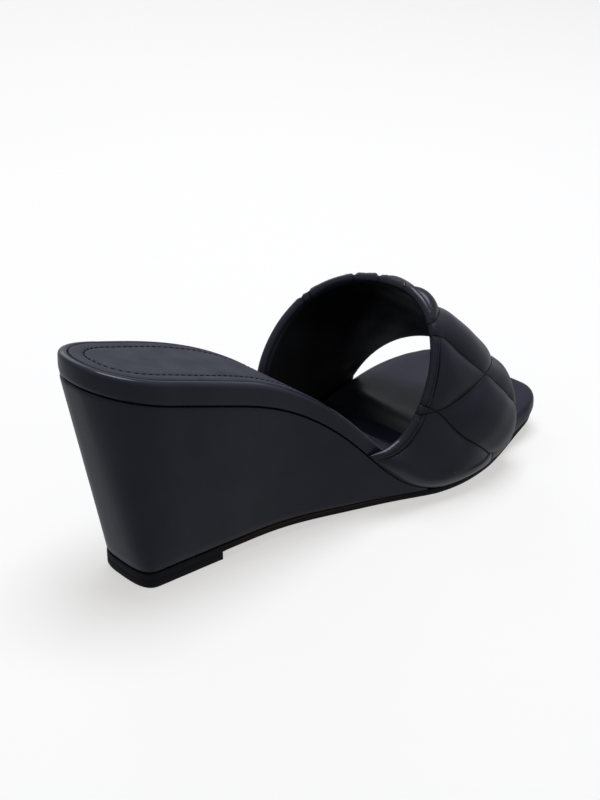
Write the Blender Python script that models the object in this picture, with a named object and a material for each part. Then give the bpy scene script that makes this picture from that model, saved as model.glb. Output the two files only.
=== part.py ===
"""Wedge mule, right shoe: one quilted strap over a covered footbed on a wedge heel.

The shoe is lofted from plan outlines and side profiles, as on a shoemaker's last.
Lengths below are in millimetres. Y runs from the heel to the toe, X to the outer
(lateral) side, and Z up from the floor. Built with Blender 4.5, in metres.
"""
import math
from collections import namedtuple

import bmesh
import bpy
import numpy as np

MM = 0.001

# Last: the named sizes that the outlines and profiles follow
LENGTH = 226.0             # plan length, heel back to toe front
HEEL_SEAT_WIDTH = 51.2
BALL_WIDTH = 83.0
HEEL_HEIGHT = 94.1         # floor to the footbed's rim, at the heel's back
HEEL_ROUND = 27.0          # depth of the footbed's round heel end
TOE_ROUND_LATERAL = 15.0
TOE_ROUND_MEDIAL = 15.0
GAP = 0.3                  # clearance between neighbouring pieces

# Sole stack
OUTSOLE_THICKNESS = 2.4
LIFT_THICKNESS = 3.2
LIFT_SETBACK = 15.4        # heel's back to the top lift's back
LIFT_LENGTH = 35.0
LIFT_WIDTH_REAR = 28.6
LIFT_WIDTH_FRONT = 33.0
LIFT_ROUND = 7.0           # the lift's back is nearly straight, with tight corners
LIFT_SQUARE = 3.0
SOLE_INSET = -0.4          # sole edge inside the footbed's edge, at the ball
TOE_INSET = 1.6            # and this much more at the toe
SHANK_LIFT = 3.3           # underside of the waist above the floor
WAIST_EASE = 4.0           # the sole's edge has reached its inset this far behind the ball
BALL_START = 150.0         # the sole is flat on the floor from here
BALL_END = 178.0           # to here
TOE_SPRING = 8.2           # underside of the toe above the floor
WEDGE_TIP = 0.9            # the wedge ends where it is this thin

# Footbed and sock
BAND_HEEL = 8.8            # wrapped edge of the footbed, at the heel and the ball
BAND_TOE = 6.0
BAND_ROUND = 2.2
RIM_WIDTH = 3.4            # rolled rim round the sock
SOCK_RECESS = 1.5
SOCK_THICKNESS = 1.4
SOCK_LENGTH = 150.0        # the sock ends under the strap; the toe has the footbed's own cover

# Strap
STRAP_WALL = 3.4
STRAP_PUFF = 1.9           # padding over the wall in the middle of a diamond
STRAP_CROWN = 1.2          # how far the strap's middle stands over its two edges
STRAP_EDGE_ROUND = 1.3
INSTEP_HEIGHT = 80.6       # floor to the lining, at the strap's back edge
VAMP_HEIGHT = 40.2         # floor to the lining, at the strap's front edge
SEAM_PITCH_STEEP = 32.0    # distance across the strap between the seams of one family
SEAM_PITCH_LONG = 24.0     # and of the other

HEEL, BALL = HEEL_SEAT_WIDTH, BALL_WIDTH
Station = namedtuple("Station", "along lateral medial width")

# Plan outline: place as a share of the length, half widths as shares of a named width
OUTLINE = (
    Station(0.106, 0.473, 0.475, HEEL),
    Station(0.213, 0.504, 0.494, HEEL),
    Station(0.341, 0.498, 0.461, HEEL),
    Station(0.470, 0.352, 0.301, BALL),
    Station(0.576, 0.400, 0.370, BALL),
    Station(0.683, 0.467, 0.475, BALL),
    Station(0.789, 0.446, 0.562, BALL),
    Station(0.905, 0.378, 0.568, BALL),
    Station(0.958, 0.352, 0.521, BALL),
)

# Side profile: place as a share of the way to the ball, height as a share of the drop
Drop = namedtuple("Drop", "along height")
PROFILE = (
    Drop(0.000, 1.000),
    Drop(0.160, 0.905),
    Drop(0.320, 0.812),
    Drop(0.513, 0.662),
    Drop(0.707, 0.389),
    Drop(0.867, 0.093),
    Drop(1.000, 0.000),
)

COLORS = {
    "top_lift": (0.020, 0.020, 0.023),
    "outsole": (0.024, 0.022, 0.022),
    "wedge": (0.020, 0.021, 0.026),
    "footbed": (0.021, 0.022, 0.026),
    "sock": (0.040, 0.042, 0.052),
    "strap": (0.016, 0.017, 0.021),
}
ROUGHNESS = {"top_lift": 0.6, "outsole": 0.55, "wedge": 0.42, "footbed": 0.45, "sock": 0.6, "strap": 0.38}


def remove_everything():
    """Empty the file without closing it."""
    for thing in list(bpy.data.objects):
        bpy.data.objects.remove(thing, do_unlink=True)


def spline(xs, ys, start=None, end=None):
    """A smooth cubic through the points, with the slope at either end free or given."""
    xs, ys = np.array(xs, float), np.array(ys, float)
    n = len(xs)
    step = np.diff(xs)
    slope = np.diff(ys) / step
    grid, rhs = np.zeros((n, n)), np.zeros(n)
    for i in range(1, n - 1):
        grid[i, i - 1] = step[i]
        grid[i, i] = 2 * (step[i - 1] + step[i])
        grid[i, i + 1] = step[i - 1]
        rhs[i] = 3 * (step[i] * slope[i - 1] + step[i - 1] * slope[i])
    grid[0, 0], grid[0, 1], rhs[0] = (2, 1, 3 * slope[0]) if start is None else (1, 0, start)
    grid[-1, -1], grid[-1, -2], rhs[-1] = (2, 1, 3 * slope[-1]) if end is None else (1, 0, end)
    tangent = np.linalg.solve(grid, rhs)

    def curve(x):
        x = np.clip(np.asarray(x, float), xs[0], xs[-1])
        i = np.clip(np.searchsorted(xs, x) - 1, 0, n - 2)
        h = step[i]
        t = (x - xs[i]) / h
        rise = ys[i] * (1 + 2 * t) * (1 - t) ** 2 + ys[i + 1] * t * t * (3 - 2 * t)
        return rise + h * (tangent[i] * t * (1 - t) ** 2 - tangent[i + 1] * t * t * (1 - t))

    return curve


def blend(a, b, share):
    return a + (b - a) * share


def ease(x, low, high):
    """0 below low, 1 above high, and smooth between."""
    t = np.clip((np.asarray(x, float) - low) / (high - low), 0, 1)
    return t * t * (3 - 2 * t)


def round_end(distance, depth, power=2.15):
    """Width share of an outline that closes over its last stretch, like a heel's end."""
    t = np.clip(1 - np.asarray(distance, float) / depth, 0, 1)
    return np.maximum(1 - t ** power, 0) ** (1 / power)


SIDES = {
    side: spline([s.along * LENGTH for s in OUTLINE],
                 [(s.lateral if side > 0 else s.medial) * s.width for s in OUTLINE])
    for side in (1, -1)
}


def footbed_half(side, y):
    """Half width of the footbed's outline, lateral for side 1 and medial for side -1."""
    y = np.asarray(y, float)
    width = SIDES[side](np.clip(y, HEEL_ROUND, LENGTH)) * round_end(y, HEEL_ROUND)
    corner = TOE_ROUND_LATERAL if side > 0 else TOE_ROUND_MEDIAL
    past = np.clip(y - (LENGTH - corner), 0, corner)
    return width - corner + np.sqrt(corner ** 2 - past ** 2)


def sole_half(side, y):
    """Half width of the wedge's foot and the outsole."""
    y = np.asarray(y, float)
    lift_front = LIFT_SETBACK + LIFT_LENGTH
    along = np.clip((y - LIFT_SETBACK) / LIFT_LENGTH, 0, 1)
    lift = blend(LIFT_WIDTH_REAR, LIFT_WIDTH_FRONT, along) / 2
    lift = lift * round_end(y - LIFT_SETBACK, LIFT_ROUND, LIFT_SQUARE)
    heel_inset = float(footbed_half(side, lift_front)) - LIFT_WIDTH_FRONT / 2
    waist = BALL_START - WAIST_EASE - lift_front
    inset = blend(heel_inset, SOLE_INSET, np.clip((y - lift_front) / waist, 0, 1))
    inset = inset + TOE_INSET * ease(y, BALL_END + 4, LENGTH)
    return np.where(y < lift_front, lift, footbed_half(side, y) - inset)


def band(y):
    """Height of the footbed's wrapped edge."""
    return blend(BAND_HEEL, BAND_TOE, np.clip((np.asarray(y, float) - BALL_END) / (LENGTH - BALL_END), 0, 1))


def toe_rise(y):
    """Toe spring: the underside leaves the floor in front of the ball."""
    t = np.clip((np.asarray(y, float) - BALL_END) / (LENGTH - BALL_END), 0, 1)
    return TOE_SPRING * t ** 1.25


BALL_TOP = OUTSOLE_THICKNESS + GAP + BAND_HEEL
PROFILE_CURVE = spline([d.along * BALL_START for d in PROFILE],
                       [blend(BALL_TOP, HEEL_HEIGHT, d.height) for d in PROFILE], end=0.0)


def footbed_top(y):
    """Height of the footbed's rim."""
    y = np.asarray(y, float)
    fore = toe_rise(y) + OUTSOLE_THICKNESS + GAP + band(y)
    return np.where(y < BALL_START, PROFILE_CURVE(y), fore)


def footbed_bottom(y):
    return footbed_top(y) - band(y)


LIFT_TOP = LIFT_THICKNESS + GAP
ARCH_CURVE = spline([LIFT_SETBACK + LIFT_LENGTH, 0.55 * BALL_START, 0.8 * BALL_START, BALL_START],
                    [LIFT_TOP, SHANK_LIFT, 0.35 * SHANK_LIFT, 0.0], start=0.0, end=0.0)


def sole_bottom(y):
    """Height of the outsole's underside: level over the top lift, arched, flat at the ball."""
    y = np.asarray(y, float)
    rear = np.where(y < LIFT_SETBACK + LIFT_LENGTH, LIFT_TOP, ARCH_CURVE(y))
    return np.where(y < BALL_START, rear, toe_rise(y))


def sole_top(y):
    return sole_bottom(y) + OUTSOLE_THICKNESS


def stations(start, end, rear_round, toe_round=0.0, step=5.0):
    """Places along the foot, close together in the round ends."""
    rear = start + rear_round * (1 - np.cos(np.linspace(0.06, math.pi / 2, 12)))
    stop = end - toe_round
    middle = np.linspace(rear[-1], stop, max(4, int((stop - rear[-1]) / step)))[1:]
    parts = [rear, middle]
    if toe_round:
        parts.append(stop + toe_round * np.sin(np.linspace(0, math.pi / 2, 8)[1:]))
    return np.concatenate(parts)


def side_normals(xs, ys, side):
    """Outward directions in plan along one side of an outline."""
    dx, dy = np.gradient(xs), np.gradient(ys)
    length = np.hypot(dx, dy)
    return side * dy / length, -side * dx / length


class Ring:
    """One closed line round the shoe: the lateral side forwards, the medial side back."""

    def __init__(self, half, ys, height, inset=0.0, drop=0.0, front=True):
        chains = []
        for side in (1, -1):
            xs = side * half(side, ys)
            nx, ny = side_normals(xs, ys, side)
            if front:
                nx[-1], ny[-1] = 0.0, 1.0
            x, y = xs - inset * nx, ys - inset * ny
            chains.append(np.column_stack([x, y, height(y) - drop]))
        self.lateral, self.medial = chains

    def points(self):
        return np.concatenate([self.lateral, self.medial[::-1]])


def between(low, high, share):
    """A ring part of the way from one ring to another."""
    ring = Ring.__new__(Ring)
    ring.lateral = blend(low.lateral, high.lateral, share)
    ring.medial = blend(low.medial, high.medial, share)
    return ring


def ring_solid(rings):
    """Points and faces of a closed solid from rings, lowest first, capped across the foot."""
    count = len(rings[0].lateral)
    around = 2 * count
    points = np.concatenate([ring.points() for ring in rings])
    faces = []
    for r in range(len(rings) - 1):
        low, high = r * around, (r + 1) * around
        for i in range(around):
            j = (i + 1) % around
            faces.append((low + i, low + j, high + j, high + i))
    for base, turned in ((0, True), ((len(rings) - 1) * around, False)):
        for i in range(count - 1):
            quad = (base + i, base + i + 1, base + around - 2 - i, base + around - 1 - i)
            faces.append(quad[::-1] if turned else quad)
    return points, faces


def edge_profile(height, radius, foot=0.5, steps=4):
    """Inset and drop pairs up a wrapped edge with a rounded top, from the bottom."""
    pairs = [(foot, height), (0.0, height - foot)]
    for i in range(steps + 1):
        a = math.pi / 2 * i / steps
        pairs.append((radius * (1 - math.cos(a)), radius * (1 - math.sin(a))))
    return pairs


def make_footbed():
    """The covered board: wrapped edge, rolled rim, and a shallow recess for the sock."""
    ys = stations(0.0, LENGTH, HEEL_ROUND, max(TOE_ROUND_LATERAL, TOE_ROUND_MEDIAL))
    ys[np.argmin(abs(ys - SOCK_LENGTH))] = SOCK_LENGTH + 1.5 * GAP
    rings = []
    for inset, drop in edge_profile(1.0, BAND_ROUND / BAND_HEEL, 0.06):
        rings.append(Ring(footbed_half, ys, footbed_top, inset * BAND_HEEL))
        for chain in (rings[-1].lateral, rings[-1].medial):
            chain[:, 2] -= drop * band(chain[:, 1])
    rings.append(Ring(footbed_half, ys, footbed_top, RIM_WIDTH - 0.7))
    rings.append(Ring(footbed_half, ys, footbed_top, RIM_WIDTH))
    for chain in (rings[-1].lateral, rings[-1].medial):
        chain[ys < SOCK_LENGTH + 2 * GAP, 2] -= SOCK_RECESS
    return ring_solid(rings)


def make_sock():
    """The thin cover that lies in the footbed's recess."""
    ys = stations(0.0, SOCK_LENGTH, HEEL_ROUND)
    floor = SOCK_RECESS - GAP
    inset = RIM_WIDTH + GAP
    rings = [
        Ring(footbed_half, ys, footbed_top, inset, floor, front=False),
        Ring(footbed_half, ys, footbed_top, inset, floor - 0.6 * SOCK_THICKNESS, front=False),
        Ring(footbed_half, ys, footbed_top, inset + 0.6, floor - SOCK_THICKNESS, front=False),
    ]
    return ring_solid(rings)


def wedge_end():
    """Where the wedge between footbed and outsole gets as thin as its tip."""
    for y in np.arange(0.6 * BALL_START, BALL_START, 0.5):
        if footbed_bottom(y) - sole_top(y) - 2 * GAP < WEDGE_TIP:
            return float(y)
    return BALL_START


def make_wedge():
    """The wedge: straight sides from the footbed's feather line down to a small foot."""
    end = wedge_end()
    shares = stations(0.0, 1.0, 0.2, step=0.04)
    top_ys, foot_ys = blend(0.9, end, shares), blend(LIFT_SETBACK, end, shares)
    foot = Ring(sole_half, foot_ys, lambda y: sole_top(y) + GAP, 0.2, front=False)
    top = Ring(footbed_half, top_ys, lambda y: footbed_bottom(y) - GAP, 0.9, front=False)
    inner_foot = Ring(sole_half, foot_ys, lambda y: sole_top(y) + GAP, 0.5, front=False)
    inner_top = Ring(footbed_half, top_ys, lambda y: footbed_bottom(y) - GAP, 1.7, front=False)
    low, high = between(foot, top, 0.04), between(foot, top, 0.96)
    rings = [inner_foot, low] + [between(foot, top, s) for s in (0.25, 0.5, 0.75)] + [high, inner_top]
    return ring_solid(rings)


def make_outsole():
    """The thin rubber sole under the wedge and the forefoot."""
    ys = stations(LIFT_SETBACK, LENGTH, 2.0 * LIFT_ROUND, max(TOE_ROUND_LATERAL, TOE_ROUND_MEDIAL))
    rings = [
        Ring(sole_half, ys, sole_bottom, 0.4),
        Ring(sole_half, ys, sole_bottom, 0.0, -0.4),
        Ring(sole_half, ys, sole_top, 0.0),
    ]
    return ring_solid(rings)


def make_top_lift():
    """The replaceable heel tip."""
    ys = stations(LIFT_SETBACK, LIFT_SETBACK + LIFT_LENGTH, 2.0 * LIFT_ROUND)
    rings = [
        Ring(sole_half, ys, lambda y: 0.0 * y, 0.5, front=False),
        Ring(sole_half, ys, lambda y: 0.0 * y + 0.5, 0.0, front=False),
        Ring(sole_half, ys, lambda y: 0.0 * y + LIFT_THICKNESS, 0.0, front=False),
    ]
    return ring_solid(rings)


# Strap edges: where each edge leaves the rim, and how its arch is shaped.
# foot, rim and apex are places along the foot as shares of the length; crest is the apex's
# place across as a share of the ball width; bow is how far the side stands out beyond the
# rim, as a share of the ball width; lean, square and rise shape the curve up to the apex.
Arch = namedtuple("Arch", "foot rim bow lean square rise")
BACK_LATERAL = Arch(0.508, 0.537, 0.070, 0.50, 0.85, 1.10)
BACK_MEDIAL = Arch(0.466, 0.480, 0.090, 1.00, 0.92, 0.66)
FRONT_LATERAL = Arch(0.832, 0.836, 0.058, 0.88, 0.84, 1.13)
FRONT_MEDIAL = Arch(0.795, 0.799, 0.010, 0.90, 0.95, 1.35)
BACK_APEX = 0.665
FRONT_APEX = 0.860
BACK_CREST = 0.093
FRONT_CREST = 0.0


def arch_at(back, front, along):
    return Arch(*(blend(a, b, along) for a, b in zip(back, front)))


def lining_point(across, along):
    """A point on the strap's inner side.

    across runs from 0 at the lateral feather line to 1 at the medial one,
    along from 0 at the back edge to 1 at the front edge.
    """
    side = 1 if across < 0.5 else -1
    arch = arch_at(BACK_LATERAL, FRONT_LATERAL, along) if side > 0 else arch_at(BACK_MEDIAL, FRONT_MEDIAL, along)
    share = 2 * min(across, 1 - across)
    crown = math.sin(math.pi * along)
    apex_y = LENGTH * blend(BACK_APEX, FRONT_APEX, along) + 0.66 * STRAP_CROWN * crown
    apex_z = blend(INSTEP_HEIGHT, VAMP_HEIGHT, along) + 0.75 * STRAP_CROWN * crown
    apex_x = BALL_WIDTH * blend(BACK_CREST, FRONT_CREST, along)
    rim_y = LENGTH * arch.rim
    if share < HEM_SHARE:
        climb = share / HEM_SHARE
        y = blend(LENGTH * arch.foot, rim_y, climb)
        x = footbed_half(side, y) + GAP
        z = footbed_top(y) - band(y) * (1 - climb)
        return np.array([side * x, y, z])
    turn = math.pi / 2 * (share - HEM_SHARE) / (1 - HEM_SHARE)
    rim_x = side * (footbed_half(side, rim_y) + GAP)
    rim_z = footbed_top(rim_y)
    bow = BALL_WIDTH * arch.bow + 0.5 * STRAP_CROWN * crown
    x = apex_x + (rim_x - apex_x) * max(math.cos(turn), 0.0) ** arch.square + side * bow * math.sin(2 * turn)
    z = rim_z + (apex_z - rim_z) * math.sin(turn) ** arch.rise
    y = rim_y + (apex_y - rim_y) * math.sin(turn) ** arch.lean
    return np.array([x, y, z])


HEM_SHARE = 0.12           # part of each half of the strap that covers the footbed's edge
ACROSS_STEPS = 60
ALONG_STEPS = 20

# Quilting: start is where the first seam of a family leaves the back edge, measured up from
# the lateral feather line, slant is how far a seam climbs for each millimetre forwards, last
# numbers the family's last seam, bow lifts a seam's middle, bend lowers its back end, and sag
# lowers its front end towards the lateral hem
Seam = namedtuple("Seam", "start pitch slant last bow bend sag")
SEAMS = (
    Seam(0.703 * SEAM_PITCH_STEEP, SEAM_PITCH_STEEP, 0.68, 3, 2.2, 0.0, 0.0),
    Seam(1.233 * SEAM_PITCH_LONG, SEAM_PITCH_LONG, -0.25, 4, 0.0, 4.0, 14.0),
)
STRAP_DEPTH = 60.0         # back edge to front edge, over the crest
CREST_STRETCH = 5.5        # the seams lie this much further apart in all over the crest


def seam_place(seam, climb, forward):
    """How many pitches a place is from the family's first seam."""
    along = forward / STRAP_DEPTH
    climb = climb - CREST_STRETCH * float(ease(climb, 50.0, 100.0))
    line = seam.start + seam.slant * forward + seam.bow * math.sin(math.pi * min(max(1.2 * along, 0), 1))
    line -= seam.bend * max(1 - 5 * along, 0) ** 2
    line -= seam.sag * (1.2 * max(along, 0)) ** 2.6 * max(1 - climb / 45, 0)
    return (climb - line) / seam.pitch


def quilt_height(climb, forward):
    """Padding over the wall: full in a diamond, none on the seams between diamonds."""
    height = 1.0
    for seam in SEAMS:
        place = seam_place(seam, climb, forward)
        off = abs(place - min(max(round(place), 0), seam.last))
        height *= math.sin(math.pi * min(off, 0.5)) ** 0.45
    return height


def strap_grids():
    """The inner and outer points of the strap, as grids across by along."""
    across = np.linspace(0, 1, ACROSS_STEPS + 1)
    along = np.linspace(0, 1, ALONG_STEPS + 1)
    inner = np.array([[lining_point(a, b) for b in along] for a in across])
    du, dv = np.gradient(inner, axis=0), np.gradient(inner, axis=1)
    normal = np.cross(du, dv)
    normal /= np.linalg.norm(normal, axis=2)[:, :, None]
    if normal[ACROSS_STEPS // 2, ALONG_STEPS // 2, 2] < 0:
        normal = -normal
    run = np.linalg.norm(np.diff(inner, axis=0), axis=2).mean(axis=1)
    reach = np.concatenate([[0], np.cumsum(run)])
    depth = np.linalg.norm(np.diff(inner[ACROSS_STEPS // 2], axis=0), axis=1).sum()
    outer = inner.copy()
    for i in range(ACROSS_STEPS + 1):
        for j in range(ALONG_STEPS + 1):
            hem = min(i, ACROSS_STEPS - i) / (HEM_SHARE * ACROSS_STEPS)
            border = min(j, ALONG_STEPS - j) / 1.4
            pad = STRAP_PUFF * min(hem, border, 1.0) * quilt_height(reach[i], depth * along[j])
            wall = STRAP_WALL * blend(0.40, 1.0, min(hem, 1.0))
            outer[i, j] += (wall + pad) * normal[i, j]
    return inner, outer


def make_strap():
    """The upper: a padded wall with an inside and an outside, rounded along both edges."""
    inner, outer = strap_grids()
    loops = []
    for i in range(ACROSS_STEPS + 1):
        back_way = inner[i, 0] - inner[i, 1]
        front_way = inner[i, -1] - inner[i, -2]
        back_way *= STRAP_EDGE_ROUND / np.linalg.norm(back_way)
        front_way *= STRAP_EDGE_ROUND / np.linalg.norm(front_way)
        back = (inner[i, 0] + outer[i, 0]) / 2 + back_way
        front = (inner[i, -1] + outer[i, -1]) / 2 + front_way
        loops.append(np.concatenate([outer[i], [front], inner[i, ::-1], [back]]))
    points = np.concatenate(loops)
    around = len(loops[0])
    faces = []
    for i in range(ACROSS_STEPS):
        for k in range(around):
            n = (k + 1) % around
            faces.append((i * around + k, i * around + n, (i + 1) * around + n, (i + 1) * around + k))
    for base, turned in ((0, True), (ACROSS_STEPS * around, False)):
        last = ALONG_STEPS
        caps = [(base + j, base + j + 1, base + around - 3 - j, base + around - 2 - j) for j in range(last)]
        caps.append((base + last, base + last + 1, base + last + 2))
        caps.append((base + around - 2, base + around - 1, base))
        faces.extend(cap[::-1] if turned else cap for cap in caps)
    return points, faces


def material_for(name):
    """A Principled material with the piece's own colour and roughness."""
    material = bpy.data.materials.new("mat_" + name)
    material.use_nodes = True
    shader = material.node_tree.nodes["Principled BSDF"]
    shader.inputs["Base Color"].default_value = (*COLORS[name], 1.0)
    shader.inputs["Roughness"].default_value = ROUGHNESS[name]
    shader.inputs["Metallic"].default_value = 0.0
    material.diffuse_color = (*COLORS[name], 1.0)
    return material


def add_piece(name, solid, collection, shift):
    """One named object from a solid's points and faces."""
    points, faces = solid
    mesh = bpy.data.meshes.new(name)
    mesh.from_pydata([tuple((p + shift) * MM) for p in points], [], faces)
    work = bmesh.new()
    work.from_mesh(mesh)
    bmesh.ops.recalc_face_normals(work, faces=work.faces)
    work.to_mesh(mesh)
    work.free()
    mesh.materials.append(material_for(name))
    piece = bpy.data.objects.new(name, mesh)
    collection.objects.link(piece)
    return piece


def main():
    remove_everything()
    collection = bpy.data.collections.new("wedge_mule")
    bpy.context.scene.collection.children.link(collection)
    solids = {
        "top_lift": make_top_lift(),
        "outsole": make_outsole(),
        "wedge": make_wedge(),
        "footbed": make_footbed(),
        "sock": make_sock(),
        "strap": make_strap(),
    }
    cloud = np.concatenate([points for points, faces in solids.values()])
    low, high = cloud.min(axis=0), cloud.max(axis=0)
    shift = np.array([-(low[0] + high[0]) / 2, -(low[1] + high[1]) / 2, -low[2]])
    for name, solid in solids.items():
        add_piece(name, solid, collection, shift)
    print("size in mm:", np.round(high - low, 1), "shift:", np.round(shift, 2))


main()
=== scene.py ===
# %% [markdown]
# A wedge mule, right shoe: one padded, quilted strap over a covered footbed on a wedge heel.
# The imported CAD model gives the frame, the size and the place of everything. This file makes
# the pieces again with finer shapes and with leather and rubber finishes, one step at a time.

# %% Load the fixed frame
import math
from collections import namedtuple

import bpy
import numpy as np
from mathutils import Matrix, Vector


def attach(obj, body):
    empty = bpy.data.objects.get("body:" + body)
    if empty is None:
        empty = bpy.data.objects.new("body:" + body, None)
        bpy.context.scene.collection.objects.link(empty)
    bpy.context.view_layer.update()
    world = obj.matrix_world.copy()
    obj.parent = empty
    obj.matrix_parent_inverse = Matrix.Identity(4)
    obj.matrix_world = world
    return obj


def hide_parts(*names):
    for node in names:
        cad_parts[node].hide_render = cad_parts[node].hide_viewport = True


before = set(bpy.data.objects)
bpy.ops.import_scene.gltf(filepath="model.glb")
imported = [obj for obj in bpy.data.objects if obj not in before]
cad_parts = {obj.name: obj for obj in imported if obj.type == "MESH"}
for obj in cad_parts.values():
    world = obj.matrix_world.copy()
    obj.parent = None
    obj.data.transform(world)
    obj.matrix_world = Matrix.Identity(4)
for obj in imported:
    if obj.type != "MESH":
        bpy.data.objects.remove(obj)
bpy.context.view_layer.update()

# %% [markdown]
# A shoemaker starts from a last, and so does this file. The named sizes are the same as in
# the CAD source: the plan length, the widths at the heel seat and the ball, and the heights.
# They are kept in millimetres, as a maker reads them, and turned into metres once, when the
# points of a piece are placed.

# %% Sizes of the last
MM = 0.001
LENGTH = 226.0
HEEL_SEAT_WIDTH = 51.2
BALL_WIDTH = 83.0
HEEL_HEIGHT = 94.1
HEEL_ROUND = 27.0
TOE_ROUND_LATERAL = 15.0
TOE_ROUND_MEDIAL = 15.0
GAP = 0.3
OUTSOLE_THICKNESS = 2.4
LIFT_THICKNESS = 3.2
LIFT_SETBACK = 15.4
LIFT_LENGTH = 35.0
LIFT_WIDTH_REAR = 28.6
LIFT_WIDTH_FRONT = 33.0
LIFT_ROUND = 7.0
LIFT_SQUARE = 3.0
LIFT_FRONT = LIFT_SETBACK + LIFT_LENGTH
SOLE_INSET = -0.4
TOE_INSET = 1.6
SHANK_LIFT = 3.3
WAIST_EASE = 4.0
BALL_START = 150.0
BALL_END = 178.0
TOE_SPRING = 8.2
WEDGE_TIP = 0.9
BAND_HEEL = 8.8
BAND_TOE = 6.0
BAND_ROUND = 2.2
RIM_WIDTH = 3.4
SOCK_RECESS = 1.5
SOCK_THICKNESS = 1.4
SOCK_LENGTH = 150.0
SHIFT = np.array([2.16, -LENGTH / 2, 0.0])
print("last:", LENGTH, "mm long,", BALL_WIDTH, "mm at the ball")

# %% [markdown]
# The outline of a foot has no straight line in it. It is drawn here as a maker draws it, with
# a flexible rule through a few marked stations: each station has a place along the foot and
# a half width to either side, as shares of the heel seat's or the ball's width.

# %% A flexible rule through marked points
def rule(xs, ys, start=None, end=None):
    """A smooth cubic through the points, with the slope at either end free or given."""
    xs, ys = np.array(xs, float), np.array(ys, float)
    n = len(xs)
    step = np.diff(xs)
    slope = np.diff(ys) / step
    grid, rhs = np.zeros((n, n)), np.zeros(n)
    for i in range(1, n - 1):
        grid[i, i - 1] = step[i]
        grid[i, i] = 2 * (step[i - 1] + step[i])
        grid[i, i + 1] = step[i - 1]
        rhs[i] = 3 * (step[i] * slope[i - 1] + step[i - 1] * slope[i])
    grid[0, 0], grid[0, 1], rhs[0] = (2, 1, 3 * slope[0]) if start is None else (1, 0, start)
    grid[-1, -1], grid[-1, -2], rhs[-1] = (2, 1, 3 * slope[-1]) if end is None else (1, 0, end)
    tangent = np.linalg.solve(grid, rhs)

    def curve(x):
        x = np.clip(np.asarray(x, float), xs[0], xs[-1])
        i = np.clip(np.searchsorted(xs, x) - 1, 0, n - 2)
        h = step[i]
        t = (x - xs[i]) / h
        rise = ys[i] * (1 + 2 * t) * (1 - t) ** 2 + ys[i + 1] * t * t * (3 - 2 * t)
        return rise + h * (tangent[i] * t * (1 - t) ** 2 - tangent[i + 1] * t * t * (1 - t))

    return curve


def blend(a, b, share):
    return a + (b - a) * share


def ease(x, low, high):
    """0 below low, 1 above high, and smooth between."""
    t = np.clip((np.asarray(x, float) - low) / (high - low), 0, 1)
    return t * t * (3 - 2 * t)


def dome(x, center, reach):
    """1 at the center, 0 from reach on, and smooth between."""
    return 1 - ease(np.abs(np.asarray(x, float) - center), 0, reach)


# %% Plan outline of the footbed
Station = namedtuple("Station", "along lateral medial width")
OUTLINE = (
    Station(0.106, 0.473, 0.475, HEEL_SEAT_WIDTH),
    Station(0.213, 0.504, 0.494, HEEL_SEAT_WIDTH),
    Station(0.341, 0.498, 0.461, HEEL_SEAT_WIDTH),
    Station(0.470, 0.352, 0.301, BALL_WIDTH),
    Station(0.576, 0.400, 0.370, BALL_WIDTH),
    Station(0.683, 0.467, 0.475, BALL_WIDTH),
    Station(0.789, 0.446, 0.562, BALL_WIDTH),
    Station(0.905, 0.378, 0.568, BALL_WIDTH),
    Station(0.958, 0.352, 0.521, BALL_WIDTH),
)
SIDES = {
    side: rule([s.along * LENGTH for s in OUTLINE],
               [(s.lateral if side > 0 else s.medial) * s.width for s in OUTLINE])
    for side in (1, -1)
}


def round_end(distance, depth, power=2.15):
    """Width share of an outline that closes over its last stretch, like a heel's end."""
    t = np.clip(1 - np.asarray(distance, float) / depth, 0, 1)
    return np.maximum(1 - t ** power, 0) ** (1 / power)


def footbed_half(side, y):
    """Half width of the footbed, outer side for side 1 and inner side for side -1."""
    y = np.asarray(y, float)
    width = SIDES[side](np.clip(y, HEEL_ROUND, LENGTH)) * round_end(y, HEEL_ROUND)
    corner = TOE_ROUND_LATERAL if side > 0 else TOE_ROUND_MEDIAL
    past = np.clip(y - (LENGTH - corner), 0, corner)
    return width - corner + np.sqrt(corner ** 2 - past ** 2)


def sole_half(side, y):
    """Half width of the wedge's foot and of the outsole."""
    y = np.asarray(y, float)
    along = np.clip((y - LIFT_SETBACK) / LIFT_LENGTH, 0, 1)
    lift = blend(LIFT_WIDTH_REAR, LIFT_WIDTH_FRONT, along) / 2
    lift = lift * round_end(y - LIFT_SETBACK, LIFT_ROUND, LIFT_SQUARE)
    heel_inset = float(footbed_half(side, LIFT_FRONT)) - LIFT_WIDTH_FRONT / 2
    waist = BALL_START - WAIST_EASE - LIFT_FRONT
    inset = blend(heel_inset, SOLE_INSET, np.clip((y - LIFT_FRONT) / waist, 0, 1))
    inset = inset + TOE_INSET * ease(y, BALL_END + 4, LENGTH)
    return np.where(y < LIFT_FRONT, lift, footbed_half(side, y) - inset)


print("outline at the ball:", [round(float(footbed_half(s, 168.0)), 1) for s in (1, -1)], "mm")

# %% [markdown]
# From the side, the footbed falls from the heel to the ball in one long curve, lies flat under
# the ball, and lifts a little at the toe. The outsole's underside is level on the heel tip,
# arched under the waist and flat on the floor at the ball.

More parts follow.
